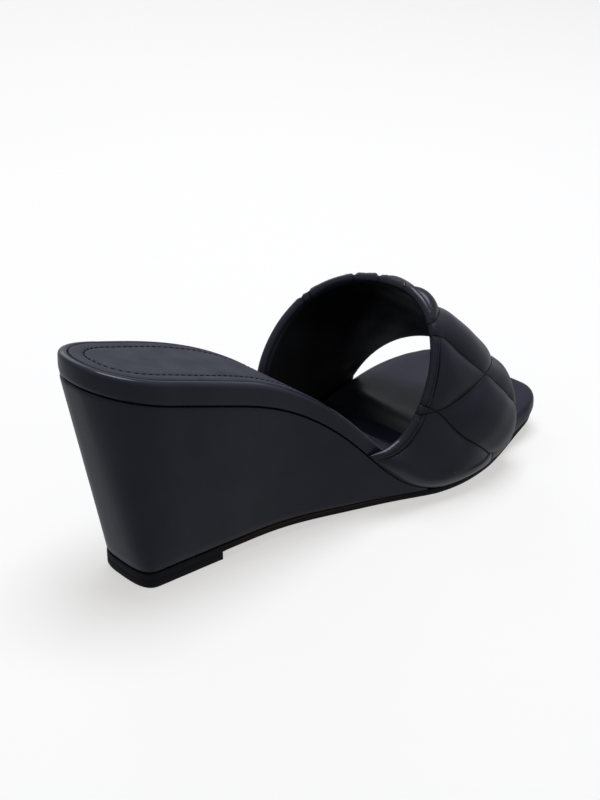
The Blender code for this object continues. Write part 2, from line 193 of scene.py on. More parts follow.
# %% Side profile
Drop = namedtuple("Drop", "along height")
PROFILE = (
    Drop(0.000, 1.000),
    Drop(0.160, 0.905),
    Drop(0.320, 0.812),
    Drop(0.513, 0.662),
    Drop(0.707, 0.389),
    Drop(0.867, 0.093),
    Drop(1.000, 0.000),
)
BALL_TOP = OUTSOLE_THICKNESS + GAP + BAND_HEEL
PROFILE_CURVE = rule([d.along * BALL_START for d in PROFILE],
                     [blend(BALL_TOP, HEEL_HEIGHT, d.height) for d in PROFILE], end=0.0)
LIFT_TOP = LIFT_THICKNESS + GAP
ARCH_CURVE = rule([LIFT_FRONT, 0.55 * BALL_START, 0.8 * BALL_START, BALL_START],
                  [LIFT_TOP, SHANK_LIFT, 0.35 * SHANK_LIFT, 0.0], start=0.0, end=0.0)


def past_ball(y):
    return np.clip((np.asarray(y, float) - BALL_END) / (LENGTH - BALL_END), 0, 1)


def band(y):
    """Height of the footbed's wrapped edge."""
    return blend(BAND_HEEL, BAND_TOE, past_ball(y))


def toe_rise(y):
    return TOE_SPRING * past_ball(y) ** 1.25


def footbed_top(y):
    """Height of the footbed's rim."""
    y = np.asarray(y, float)
    fore = toe_rise(y) + OUTSOLE_THICKNESS + GAP + band(y)
    return np.where(y < BALL_START, PROFILE_CURVE(y), fore)


def footbed_bottom(y):
    return footbed_top(y) - band(y)


def sole_bottom(y):
    y = np.asarray(y, float)
    rear = np.where(y < LIFT_FRONT, LIFT_TOP, ARCH_CURVE(y))
    return np.where(y < BALL_START, rear, toe_rise(y))


def sole_top(y):
    return sole_bottom(y) + OUTSOLE_THICKNESS


print("heel rim and ball at", [round(float(footbed_top(y)), 1) for y in (0.0, 165.0)], "mm")

# %% [markdown]
# Every hard-edged piece of the bottom is a stack of closed lines that all run round the shoe.
# A circle primitive has one point for each mark on the line. It is laid on the lowest line,
# and its edge is extruded once for each line above. The last line at either end shrinks onto
# the middle of the foot, where its points are merged, and that closes the solid with even
# strips of faces and no large cap.

# %% Lines round the foot
class Plan:
    """Points in plan round a piece, from the heel forwards on the outer side and back inside."""

    def __init__(self, half, start, end, rear, marks_between, corner=0.0):
        marks = [start + rear * (1 - np.cos(np.linspace(0, math.pi / 2, 16)))]
        stop = end - corner
        marks.append(np.linspace(start + rear, stop, marks_between + 1)[1:])
        if corner:
            marks.append(stop + corner * np.sin(np.linspace(0, math.pi / 2, 12)[1:]))
        ys = np.concatenate(marks)
        outer, inner = half(1, ys), -half(-1, ys)
        middle = (outer[-1] + inner[-1]) / 2
        front = np.linspace(1, 0, 9)[1:]
        out = np.column_stack([outer, ys])
        end_y = 0 * front + ys[-1]
        out = np.concatenate([out, np.column_stack([blend(middle, outer[-1], front), end_y])])
        back = np.column_stack([inner, ys])
        back = np.concatenate([back, np.column_stack([blend(middle, inner[-1], front), end_y])])
        self.points = np.concatenate([out, back[-2:0:-1]])
        ahead, behind = np.roll(self.points, -1, axis=0), np.roll(self.points, 1, axis=0)
        run = ahead - behind
        run /= np.linalg.norm(run, axis=1)[:, None]
        self.out = np.column_stack([run[:, 1], -run[:, 0]])
        inset = min(10.0, 0.4 * (end - start))
        spine = np.clip(self.points[:, 1], start + inset, end - inset)
        self.spine = np.column_stack([(half(1, spine) - half(-1, spine)) / 2, spine])

    def line(self, height, inset=0.0, drop=0.0, toward=0.0):
        """One closed line: set in from the edge, then moved a share of the way to the middle."""
        flat = blend(self.points - inset * self.out, self.spine, toward)
        rise = height(flat[:, 1]) - (drop(flat[:, 1]) if callable(drop) else drop)
        return np.column_stack([flat, rise])


# %% Raise a piece from its lines
def nothing_selected():
    if bpy.context.object and bpy.context.object.mode != "OBJECT":
        bpy.ops.object.mode_set(mode="OBJECT")
    bpy.ops.object.select_all(action="DESELECT")


def place_points(piece, points):
    """Put the mesh's points where they belong, in metres, in the frame's own place."""
    piece.data.vertices.foreach_set("co", ((points + SHIFT) * MM).ravel())
    piece.data.update()


def finish_shape(piece, merge=0.02, angle=40):
    """Merge what lies in one place, turn the faces outwards, and shade the piece smooth."""
    bpy.ops.object.mode_set(mode="EDIT")
    bpy.ops.mesh.select_all(action="SELECT")
    bpy.ops.mesh.remove_doubles(threshold=merge * MM)
    bpy.ops.mesh.dissolve_degenerate(threshold=0.2 * merge * MM)
    bpy.ops.mesh.normals_make_consistent(inside=False)
    bpy.ops.object.mode_set(mode="OBJECT")
    bpy.ops.object.shade_smooth_by_angle(angle=math.radians(angle))


def raise_piece(name, lines):
    """A circle primitive laid on the first line, and its edge extruded to each further one."""
    nothing_selected()
    bpy.ops.mesh.primitive_circle_add(vertices=len(lines[0]), radius=0.1)
    piece = bpy.context.active_object
    piece.name = piece.data.name = name
    bpy.ops.object.mode_set(mode="EDIT")
    for step in range(1, len(lines)):
        bpy.ops.mesh.extrude_region_move(TRANSFORM_OT_translate={"value": (0, 0, 0.01)})
    bpy.ops.object.mode_set(mode="OBJECT")
    place_points(piece, np.concatenate(lines))
    return piece


def report(piece):
    box = np.array([v.co for v in piece.data.vertices]) * 1000
    size = np.round(box.max(axis=0) - box.min(axis=0), 1)
    print(piece.name, "size", size.tolist(), "mm,", len(piece.data.polygons), "faces")


# %% [markdown]
# The footbed is a board with foam on it, wrapped in leather. Its edge stands as a band with
# a rounded top, the rim rolls over softly, and behind the strap it steps down into a recess
# for the sock. Profiles up the edge are written as pairs of inset and drop below the rim.

# %% Footbed
def rounded(radius, steps):
    """Inset and drop over a rounded upper edge, from the side to the top."""
    turns = np.linspace(0, math.pi / 2, steps + 1)
    return [(radius * (1 - math.cos(a)), radius * (1 - math.sin(a))) for a in turns]


VALLEY = 171.0             # where the slope's foam ends and the cover bends into the flat toe
FOOTBED_MARKS = 72
TOE_ROUND = max(TOE_ROUND_LATERAL, TOE_ROUND_MEDIAL)
plan = Plan(footbed_half, 0.0, LENGTH, HEEL_ROUND, FOOTBED_MARKS, TOE_ROUND)


def recess(y):
    """Depth of the sock's bed: full at the heel, nothing in front of the sock."""
    return SOCK_RECESS * (np.asarray(y, float) < SOCK_LENGTH + 2.5)


lines = [plan.line(footbed_top, 8.0, band, s) for s in (1.0, 0.5, 0.0)]
lines.append(plan.line(footbed_top, 0.7, band))
lines.append(plan.line(footbed_top, 0.15, lambda y: band(y) - 0.35))
for share in (0.8, 0.6, 0.42):
    swell = 0.12 * math.sin(math.pi * share)
    lines.append(plan.line(footbed_top, -swell,
                           lambda y, s=share: BAND_ROUND + s * (band(y) - BAND_ROUND - 0.35)))
for inset, drop in rounded(BAND_ROUND, 6):
    lines.append(plan.line(footbed_top, inset, drop))
for inset, drop in ((2.6, -0.06), (2.9, 0.02), (3.1, 0.18), (RIM_WIDTH - 0.12, 0.42)):
    lines.append(plan.line(footbed_top, inset, lambda y, d=drop: np.where(recess(y) > 0, d, -0.10)))
lines.append(plan.line(footbed_top, RIM_WIDTH, lambda y: np.where(recess(y) > 0, recess(y), -0.12)))


def bed(y, share):
    """Drop of the floor inside the rim, with a soft ridge where the foam ends."""
    ridge = 0.35 * dome(y, VALLEY, 5.0)
    return np.where(recess(y) > 0, recess(y), -0.12 - 0.25 * math.sin(math.pi * share / 2) - ridge)


for share in (0.12, 0.3, 0.5, 0.7, 0.85, 1.0):
    lines.append(plan.line(footbed_top, RIM_WIDTH, lambda y, s=share: bed(y, s), share))
footbed = raise_piece("footbed_cover", lines)
finish_shape(footbed)
report(footbed)

# %% [markdown]
# The sock is a thin leather cover that lies in the recess. A thin black line shows round it,
# and its own edge is turned down softly. A row of stitches runs a few millimetres inside the
# edge, and the thread draws the leather down into a shallow trough, which is darkened with
# painted shade.

# %% Sock
STITCH_FROM_EDGE = 5.3
STITCH_INSET = RIM_WIDTH + GAP + STITCH_FROM_EDGE
SOCK_MARKS = 56
plan = Plan(footbed_half, 0.0, SOCK_LENGTH, HEEL_ROUND, SOCK_MARKS)
edge = RIM_WIDTH + GAP
floor = SOCK_RECESS - GAP
lift = floor - SOCK_THICKNESS
lines = [plan.line(footbed_top, edge + 3, floor, s) for s in (1.0, 0.4)]
lines.append(plan.line(footbed_top, edge, floor))
for inset, drop in rounded(0.8, 4):
    lines.append(plan.line(footbed_top, edge + inset, lift + drop))
for inset, drop in ((1.6, -0.12), (2.8, -0.12)):
    lines.append(plan.line(footbed_top, edge + inset, lift + drop))
for beside, drop in ((-1.2, -0.06), (-0.6, 0.10), (-0.3, 0.24), (0.0, 0.32), (0.3, 0.24), (0.6, 0.10),
                     (1.3, -0.08)):
    lines.append(plan.line(footbed_top, edge + STITCH_FROM_EDGE + beside, lift + drop))
TROUGH = len(lines) - 4
for share in (0.1, 0.25, 0.45, 0.65, 0.85, 1.0):
    lines.append(plan.line(footbed_top, edge + STITCH_FROM_EDGE + 1.5, lift - 0.12, share))
sock = raise_piece("sock_cover", lines)
# A mask on the trough's deepest line, for the painted shade that darkens the sock's colour there.
trough_shade = np.repeat(np.arange(len(lines)) == TROUGH, len(lines[0])).astype(float)
sock.data.attributes.new("trough_shade", "FLOAT", "POINT").data.foreach_set("value", trough_shade)
finish_shape(sock)
report(sock)

# %% [markdown]
# The wedge is a solid block covered in the same smooth leather. Its sides are ruled: straight
# from the footbed's feather line down to the small foot at the floor. The cover turns in
# softly at both edges, and at the top it stands a little proud of the footbed's band.

# %% Wedge
def wedge_end():
    """Where the wedge between footbed and outsole gets as thin as its tip."""
    for y in np.arange(0.6 * BALL_START, BALL_START, 0.5):
        if footbed_bottom(y) - sole_top(y) - 2 * GAP < WEDGE_TIP:
            return float(y)
    return BALL_START


END = wedge_end()
WEDGE_START = 0.2
WEDGE_MARKS = 64
top_plan = Plan(footbed_half, WEDGE_START, END, 0.2 * (END - WEDGE_START), WEDGE_MARKS)
foot_plan = Plan(sole_half, LIFT_SETBACK, END, 0.2 * (END - LIFT_SETBACK), WEDGE_MARKS)


def wedge_line(share, inset=0.0, toward=0.0):
    """A line on the ruled side: 0 at the foot and 1 at the feather line."""
    foot = foot_plan.line(lambda y: sole_top(y) + GAP, 0.2 + inset, 0.0, toward)
    top = top_plan.line(lambda y: footbed_bottom(y) - GAP, inset - 0.15, 0.0, toward)
    return blend(foot, top, share)


lines = [wedge_line(0.0, 0.9, s) for s in (1.0, 0.5, 0.0)]
lines.append(wedge_line(0.004, 0.3))
for share in (0.015, 0.06, 0.2, 0.4, 0.6, 0.8, 0.92):
    lines.append(wedge_line(share))
for share, inset in ((0.960, 0.0), (0.978, 0.02), (0.986, 0.14), (0.992, 0.40), (0.997, 0.85), (1.0, 1.5)):
    lines.append(wedge_line(share, inset))
lines += [wedge_line(1.0, 1.5, s) for s in (0.4, 1.0)]
wedge = raise_piece("wedge_cover", lines)
finish_shape(wedge)
report(wedge)

# %% [markdown]
# The outsole is a thin sheet of rubber from the heel to the toe. Its edge is trimmed square
# and its lower corner is sanded. The top lift under the heel is a thicker block of harder
# rubber, which a cobbler can change.

# %% Outsole
def edge_shares(piece, low, high):
    """Store how high each point is on the sole's edge, for the finish to read."""
    layer = piece.data.attributes.new("edge_share", "FLOAT", "POINT")
    spots = np.array([v.co for v in piece.data.vertices]) / MM - SHIFT
    y, z = spots[:, 1], spots[:, 2]
    layer.data.foreach_set("value", (z - low(y)) / (high(y) - low(y)))


SOLE_MARKS = 84
SOLE_COVER = 2.63          # height of the sheet over its underside
plan = Plan(sole_half, LIFT_SETBACK, LENGTH, 2.0 * LIFT_ROUND, SOLE_MARKS, TOE_ROUND)
lines = [plan.line(sole_bottom, 6.0, 0.0, s) for s in (1.0, 0.6, 0.3, 0.0)]
sanded = ease(plan.points[:, 1], LIFT_FRONT, LIFT_FRONT + 4)[:, None]
lines.append(plan.line(sole_bottom, 0.5 * sanded + 0.04))
for inset, drop in ((0.18, -0.12), (0.0, -0.45)):
    lines.append(plan.line(sole_bottom, inset * sanded, drop))
for inset, height in ((0.0, 1.2), (0.0, 2.1), (0.1, 2.5), (0.3, SOLE_COVER), (3.0, SOLE_COVER)):
    lines.append(plan.line(sole_bottom, inset, -height))
lines += [plan.line(sole_bottom, 3.0, -SOLE_COVER, s) for s in (0.5, 1.0)]
outsole = raise_piece("outsole_rubber", lines)
finish_shape(outsole)
edge_shares(outsole, sole_bottom, sole_top)
report(outsole)

# %% Top lift
LIFT_MARKS = 22
LIFT_COVER = 3.4
LIFT_INSET = 0.6           # more than this folds the lines at the square front corners
plan = Plan(sole_half, LIFT_SETBACK, LIFT_FRONT, 2.0 * LIFT_ROUND, LIFT_MARKS)


def level(y):
    return 0.0 * y


lines = [plan.line(level, LIFT_INSET, 0.0, s) for s in (1.0, 0.5, 0.0)]
for inset, height in ((0.55, 0.0), (0.15, 0.15), (0.0, 0.5), (0.0, 1.8), (0.0, 3.3),
                      (0.03, LIFT_COVER), (LIFT_INSET, LIFT_COVER)):
    lines.append(plan.line(level, inset, -height))
lines += [plan.line(level, LIFT_INSET, -LIFT_COVER, s) for s in (0.5, 1.0)]
top_lift = raise_piece("top_lift_rubber", lines)
finish_shape(top_lift)
report(top_lift)

# %% [markdown]
# The strap is the upper. Its lining follows the foot: each edge starts at the feather line on
# the outer side, leaves the rim, arches over the instep and comes down on the inner side.
# Both edges are curves with a few named proportions, and the lining is the surface between.

# %% Lining surface of the strap
INSTEP_HEIGHT = 80.6
VAMP_HEIGHT = 40.2
STRAP_CROWN = 1.2
HEM_SHARE = 0.12
Arch = namedtuple("Arch", "foot rim bow lean square rise")
BACK_EDGE = {1: Arch(0.508, 0.537, 0.070, 0.50, 0.85, 1.10),
             -1: Arch(0.466, 0.480, 0.090, 1.00, 0.92, 0.66)}
FRONT_EDGE = {1: Arch(0.832, 0.836, 0.058, 0.88, 0.84, 1.13),
              -1: Arch(0.795, 0.799, 0.010, 0.90, 0.95, 1.35)}
BACK_APEX, FRONT_APEX = 0.665, 0.860
BACK_CREST, FRONT_CREST = 0.093, 0.0


def half_lining(side, share, along):
    """One half of the lining: share 0 at its feather line, 1 on the crest of the instep."""
    arch = Arch(*(blend(a, b, along) for a, b in zip(BACK_EDGE[side], FRONT_EDGE[side])))
    crown = np.sin(math.pi * along)
    rim_y = LENGTH * arch.rim
    climb = np.clip(share / HEM_SHARE, 0, 1)
    hem_y = blend(LENGTH * arch.foot, rim_y, climb)
    hem_z = footbed_top(hem_y) - band(hem_y) * (1 - climb)
    hem = np.stack([side * (footbed_half(side, hem_y) + GAP), hem_y, hem_z], axis=-1)
    turn = math.pi / 2 * np.clip((share - HEM_SHARE) / (1 - HEM_SHARE), 0, 1)
    rim_x = side * (footbed_half(side, rim_y) + GAP)
    apex_x = BALL_WIDTH * blend(BACK_CREST, FRONT_CREST, along)
    apex_y = LENGTH * blend(BACK_APEX, FRONT_APEX, along) + 0.66 * STRAP_CROWN * crown
    apex_z = blend(INSTEP_HEIGHT, VAMP_HEIGHT, along) + 0.75 * STRAP_CROWN * crown
    bow = BALL_WIDTH * arch.bow + 0.5 * STRAP_CROWN * crown
    cosine = np.clip(np.cos(turn), 0, 1)
    x = apex_x + (rim_x - apex_x) * cosine ** arch.square + side * bow * np.sin(2 * turn)
    z = footbed_top(rim_y) + (apex_z - footbed_top(rim_y)) * np.sin(turn) ** arch.rise
    y = rim_y + (apex_y - rim_y) * np.sin(turn) ** arch.lean
    return np.where((share < HEM_SHARE)[..., None], hem, np.stack([x, y, z], axis=-1))


def lining(across, along):
    """across runs from 0 at the outer feather line to 1 at the inner one."""
    outer = half_lining(1, 2 * np.minimum(across, 0.5), along)
    inner = half_lining(-1, 2 * np.minimum(1 - across, 0.5), along)
    return np.where((across < 0.5)[..., None], outer, inner)


# %% [markdown]
# The strap is quilted. Two families of seams cross and leave diamonds, each one a soft dome
# over its padding. The thread pulls the leather down to a sharp valley, and where two seams
# meet the valley is deepest. All of it is written as a height over the wall, at a place
# measured in millimetres across and along the strap.

# %% Quilting
STRAP_WALL = 3.4
STRAP_EDGE = 1.3           # the rounded edges stand this far beyond the two edge curves
PUFF = 3.0
CREST_STRETCH = 5.5        # the seams lie this much further apart in all over the crest
STRAP_DEPTH = 60.0
Seam = namedtuple("Seam", "start pitch slant last bow bend sag")
STEEP = Seam(22.5, 32.0, 0.68, 3, 2.2, 0.0, 0.0)
LONG = Seam(29.6, 24.0, -0.25, 4, 0.0, 4.0, 14.0)


def spacing(seam):
    """Millimetres between two seams of a family, square to them."""
    return seam.pitch / math.hypot(1, seam.slant)


def seam_place(seam, climb, forward):
    """How many pitches a place is from the family's first seam, held beyond its last ones."""
    along = forward / STRAP_DEPTH
    climb = climb - CREST_STRETCH * ease(climb, 50.0, 100.0)
    line = seam.start + seam.slant * forward + seam.bow * np.sin(math.pi * np.clip(1.2 * along, 0, 1))
    line = line - seam.bend * np.clip(1 - 5 * along, 0, None) ** 2
    line = line - seam.sag * (1.2 * np.clip(along, 0, None)) ** 2.6 * np.clip(1 - climb / 45, 0, None)
    return np.clip((climb - line) / seam.pitch, -0.5, seam.last + 0.5)


def seam_distance(seam, climb, forward):
    place = seam_place(seam, climb, forward)
    return np.abs(place - np.clip(np.round(place), 0, seam.last)) * spacing(seam)


def quilt(climb, forward):
    """Height of the padding: 0 on a seam and 1 in the middle of a diamond."""
    fall, crown = 1.0, 1.0
    for seam in (STEEP, LONG):
        away = seam_distance(seam, climb, forward)
        fall = fall * (1 - np.exp(-(np.sqrt(away ** 2 + 0.02) - 0.14) / 2.6))
        crown = crown * np.sin(math.pi * away / spacing(seam))
    return fall * (0.62 + 0.38 * crown ** 0.8)


print("from a crossing to its seams:", [round(float(seam_distance(s, 27.0, 6.0)), 2) for s in (STEEP, LONG)])

# %% [markdown]
# The rows of the strap run across the foot, evenly spaced and closer at the two hems. The
# columns run round its section, and lie closer at both edges, where the leather is folded.

# %% Rows and columns of the strap
HEM_MARKS = (0.0, 0.08, 0.25, 0.5, 0.85, 1.25, 1.7, 2.2, 2.8, 3.4)
BACK_MARKS = (0.0, 0.05, 0.18, 0.38, 0.62, 0.9, 1.15, 1.35, 1.5, 1.6, 1.7, 1.85, 2.05, 2.3, 2.55, 2.75, 2.9,
              3.02, 3.14, 3.26, 3.4, 3.6, 3.9, 4.3)
FRONT_MARKS = (0.0, 0.05, 0.18, 0.38, 0.62, 0.9, 1.2, 1.6, 2.1, 2.7, 3.3)
ROWS_BETWEEN = 370
COLUMNS_BETWEEN = 118
crest = lining(np.full(101, 0.5), np.linspace(0, 1, 101))
DEPTH = float(np.linalg.norm(np.diff(crest, axis=0), axis=1).sum())


def marks_between(first, last, total, count):
    """Marks close together at both ends of a length, and even between."""
    even = np.linspace(first[-1], total - last[-1], count + 2)[1:-1]
    return np.concatenate([first, even, total - np.array(last)[::-1]])


def reach_of(shares):
    """Mean millimetres round the strap from the outer feather line."""
    u, v = np.meshgrid(shares, np.linspace(0, 1, 21), indexing="ij")
    run = np.linalg.norm(np.diff(lining(u, v), axis=0), axis=2).mean(axis=1)
    return np.concatenate([[0], np.cumsum(run)])


fine = np.linspace(0, 1, 8001)
REACH = float(reach_of(fine)[-1])
reach = marks_between(HEM_MARKS, HEM_MARKS, REACH, ROWS_BETWEEN)
across = np.interp(reach, reach_of(fine), fine)
width = DEPTH + 2 * STRAP_EDGE
from_back = marks_between(BACK_MARKS, FRONT_MARKS, width, COLUMNS_BETWEEN)
from_back_inside = marks_between(BACK_MARKS[:8:2], FRONT_MARKS[:8:2], width, 40)
print("strap:", round(DEPTH, 1), "mm deep on the crest and", round(REACH, 1), "mm round")

# %% Skin of the strap and the way it faces
def skin(columns):
    """Points on the lining's surface, and the direction outwards at each."""
    along = (columns - STRAP_EDGE) / DEPTH
    u, v = np.meshgrid(across, along, indexing="ij")
    points = sum(lining(np.clip(u + s * 0.011, 0, 1), v) for s in (-1, -0.5, 0, 0.5, 1)) / 5
    points[[0, -1]] = lining(u, v)[[0, -1]]
    out = np.cross(np.gradient(points, reach, axis=0), np.gradient(points, columns, axis=1))
    out /= np.linalg.norm(out, axis=2)[:, :, None]
    return points, out * np.sign(out[len(across) // 2, len(columns) // 2, 2])


# %% [markdown]
# The wall is thin where it is lasted under at the hems, and its lowest edge turns in. Behind,
# a narrow roll of leather binds the edge, with a fine groove between it and the first pads;
# where seams run into it, it is pinched and gathered. In front the leather is folded to a thin
# round edge.

# %% Heights of the strap over its skin
ROLL = 3.2
ROLL_AT_HEM = 0.58         # share of the roll's width that is left at a hem
GROOVE = 0.35


def closing(distance, radius):
    """0 at an edge, 1 from the radius on, and round like a quarter circle between."""
    return np.sqrt(1 - (1 - np.clip(distance / radius, 0, 1)) ** 2)


def slow_waves(climb, forward):
    return (np.sin(climb * 0.20 + forward * 0.14 + 0.4) + 0.8 * np.sin(forward * 0.38 - climb * 0.29 + 2)
            + 0.5 * np.sin(climb * 0.56 + forward * 0.25 + 1.1))


def wall_at(low, front):
    wall = STRAP_WALL * blend(0.35, 1.0, ease(low, 0.5, 8.0))
    return wall * blend(0.78, 1.0, ease(front, 0.0, 6.0))


def roll_at(low):
    """Width of the roll, from the distance to the nearer hem."""
    return ROLL * blend(ROLL_AT_HEM, 1.0, ease(low, 0.0, 12.0))


def outer_height(climb, back):
    """Height of the outside, from the place round the strap and the distance from its back edge."""
    low, front = np.minimum(climb, REACH - climb), width - back
    forward = back - STRAP_EDGE
    wall = wall_at(low, front)
    roll = roll_at(low)
    steep, long = seam_distance(STEEP, climb, forward), seam_distance(LONG, climb, forward)
    nearest = np.minimum(steep, long)
    behind = np.clip(back - roll, 0, None)
    pads = PUFF * quilt(climb, forward) * (1 - np.exp(-behind / 2.4)) * (1 - np.exp(-front / 4.2))
    fuller = 0.45 * np.exp(-behind / 11) * ease(low, 40, 75)
    flatter = 0.4 * ease(forward, 8, 34) * ease(low, 35, 70)
    pads = pads * (1 + fuller - flatter)
    pads = pads * (1 - np.exp(-(low / 2.4) ** 1.4)) + 0.10 * slow_waves(climb, forward) * ease(behind, 0, 6)
    panel = wall + pads - GROOVE * np.exp(-behind / 0.5)
    pinch = np.exp(-(nearest / 0.8) ** 2) * ease(low, 4, 10)
    swell = 0.25 * np.exp(-((nearest - 2.4) / 1.3) ** 2) * ease(low, 4, 10)
    bead = np.sqrt(np.clip(1 - (2 * back / roll - 1) ** 2, 0, 1))
    gather = np.sin(2.3 * climb + 1.6 * slow_waves(climb, forward))
    gather = gather * np.exp(-(nearest / 3.4) ** 2) * ease(low, 4, 10)
    top = 0.35 + swell - 0.75 * pinch + 0.13 * gather
    rear_bead = 0.5 * wall + (0.5 * wall + top) * bead
    front_bead = wall - GROOVE + (GROOVE + top) * bead
    rise = np.where(back < 0.5 * roll, rear_bead, front_bead)
    rise = rise - 0.30 * np.exp(-((back - 0.5 * roll) / 0.22) ** 2)
    height = np.where(back < roll, rise, panel + 0.5 * swell * np.exp(-behind / 2.0))
    height = blend(0.5 * wall, height, closing(front, 0.5 * wall))
    return 0.12 + (height - 0.12) * closing(low, 1.5)


def inner_height(climb, back):
    """Height of the lining, which turns up into both edges and has a few faint folds."""
    low, front = np.minimum(climb, REACH - climb), width - back
    wall = wall_at(low, front)
    edge = 0.5 * wall * (2 - closing(back, 0.5 * wall) - closing(front, 0.5 * wall))
    folds = 0.14 * slow_waves(0.7 * climb + 5, 0.8 * back)
    folds = folds * ease(back, 2, 9) * ease(front, 2, 9) * ease(low, 10, 22)
    return edge + folds


# %% [markdown]
# A grid primitive becomes the strap: its rows run across the foot, and its columns run round
# the section, over the outside to the front edge and back along the lining. The first and the
# last column meet at the back edge and are merged, and the two hems are filled, so the strap
# is one closed solid with a real wall.

# %% Strap
def over_skin(columns, height):
    points, out = skin(columns)
    climb, back = np.meshgrid(reach, columns, indexing="ij")
    return points + height(climb, back)[:, :, None] * out


outside, inside = over_skin(from_back, outer_height), over_skin(from_back_inside, inner_height)
loop = np.concatenate([outside, inside[:, ::-1]], axis=1)
nothing_selected()
bpy.ops.mesh.primitive_grid_add(x_subdivisions=loop.shape[1] - 1, y_subdivisions=len(reach) - 1, size=0.1)
strap = bpy.context.active_object
strap.name = strap.data.name = "quilted_strap"
place_points(strap, loop.reshape(-1, 3))


def remember(piece, name, values):
    """Store a number at every point, for the finish to read."""
    piece.data.attributes.new(name, "FLOAT", "POINT").data.foreach_set("value", np.ravel(values))


columns = np.concatenate([from_back, from_back_inside[::-1]])
on_outside = np.concatenate([0 * from_back + 1, 0 * from_back_inside])
C, B = np.meshgrid(reach, columns, indexing="ij")
inward = (from_back_inside > 2.4) & (from_back_inside < width - 1.6)
inward = np.concatenate([0 * from_back, inward[::-1]])
for name, seam in (("steep_seam", STEEP), ("long_seam", LONG)):
    remember(strap, name, seam_place(seam, C, B - STRAP_EDGE) * spacing(seam))
remember(strap, "pad", quilt(C, B - STRAP_EDGE))
remember(strap, "roll_share", B / roll_at(np.minimum(C, REACH - C)))
remember(strap, "lining", 0 * C + inward)
remember(strap, "outside", 0 * C + on_outside)
bpy.ops.object.mode_set(mode="EDIT")
bpy.ops.mesh.select_all(action="SELECT")
bpy.ops.mesh.remove_doubles(threshold=0.004 * MM)
bpy.ops.mesh.select_all(action="DESELECT")
bpy.ops.mesh.select_non_manifold(extend=False, use_wire=True, use_boundary=True, use_multi_face=False,
                                 use_non_contiguous=False, use_verts=False)
bpy.ops.mesh.edge_face_add()
bpy.ops.mesh.select_all(action="SELECT")
bpy.ops.mesh.normals_make_consistent(inside=False)
bpy.ops.object.mode_set(mode="OBJECT")
bpy.ops.object.shade_smooth_by_angle(angle=math.radians(70))
report(strap)

# %% [markdown]
# The sock's stitches are short pieces of thick black thread. One is a small sphere primitive,
# drawn long; the others are copies, each turned along the line and joined into one piece.

# %% Stitches round the sock
STITCH_PITCH = 2.75
STITCH_LENGTH = 1.95
THREAD = 0.74


def stitch_marks():
    """Even places along the sock's stitch line, open at the front, with the way it runs."""
    path = Plan(footbed_half, 0.0, SOCK_LENGTH, HEEL_ROUND, 80)
    line = path.line(footbed_top, STITCH_INSET, lift + 0.22)
    front = int(np.argmax(path.points[:, 1] > SOCK_LENGTH - 4))
    side = line[:front]
    other = line[::-1][:front]
    whole = np.concatenate([side[::-1], other])
    run = np.concatenate([[0], np.cumsum(np.linalg.norm(np.diff(whole, axis=0), axis=1))])
    marks = np.arange(0.5 * STITCH_PITCH, run[-1], STITCH_PITCH)
    spots = np.column_stack([np.interp(marks, run, whole[:, k]) for k in range(3)])
    ahead = np.column_stack([np.interp(marks + 0.5, run, whole[:, k]) for k in range(3)])
    return spots, (ahead - spots) / np.linalg.norm(ahead - spots, axis=1)[:, None]


spots, ways = stitch_marks()
nothing_selected()
bpy.ops.mesh.primitive_uv_sphere_add(segments=8, ring_count=6, radius=0.5)
stitch = bpy.context.active_object
bpy.ops.transform.resize(value=(STITCH_LENGTH * MM, THREAD * MM, THREAD * MM))
bpy.ops.object.transform_apply(location=False, rotation=False, scale=True)
bpy.ops.object.shade_smooth()
row = []
for spot, way in zip(spots, ways):
    copy = stitch.copy()
    copy.data = stitch.data.copy()
    bpy.context.collection.objects.link(copy)
    side = np.cross([0, 0, 1], way)
    side /= np.linalg.norm(side)
    up = np.cross(way, side)
    turned = Matrix([[way[k], side[k], up[k], 0] for k in range(3)] + [[0, 0, 0, 1]])
    copy.matrix_world = Matrix.Translation([float(v) for v in (spot + SHIFT) * MM]) @ turned
    row.append(copy)
nothing_selected()
for copy in row:
    copy.select_set(True)
bpy.context.view_layer.objects.active = row[0]
bpy.ops.object.join()
sock_stitches = bpy.context.active_object
sock_stitches.name = sock_stitches.data.name = "sock_stitches"
bpy.ops.object.transform_apply(location=True, rotation=True, scale=True)
bpy.data.objects.remove(stitch, do_unlink=True)
print(len(row), "stitches round the sock")

# %% [markdown]
# Finishes. A material is arithmetic on signals, so one small class lets a socket be added,
# multiplied and mixed with plain Python signs. Every other node comes from one method.

# %% Signals and finishes
class Signal:
    """A number on its way through a material."""

    def __init__(self, finish, socket):
        self.finish, self.socket = finish, socket

    def step(self, operation, first, second):
        return self.finish.node("ShaderNodeMath", {"operation": operation}, {0: first, 1: second})

    def __add__(self, other):
        return self.step("ADD", self, other)

    def __sub__(self, other):
        return self.step("SUBTRACT", self, other)

    def __rsub__(self, other):
        return self.step("SUBTRACT", other, self)

    def __mul__(self, other):
        return self.step("MULTIPLY", self, other)

    __radd__ = __add__
    __rmul__ = __mul__


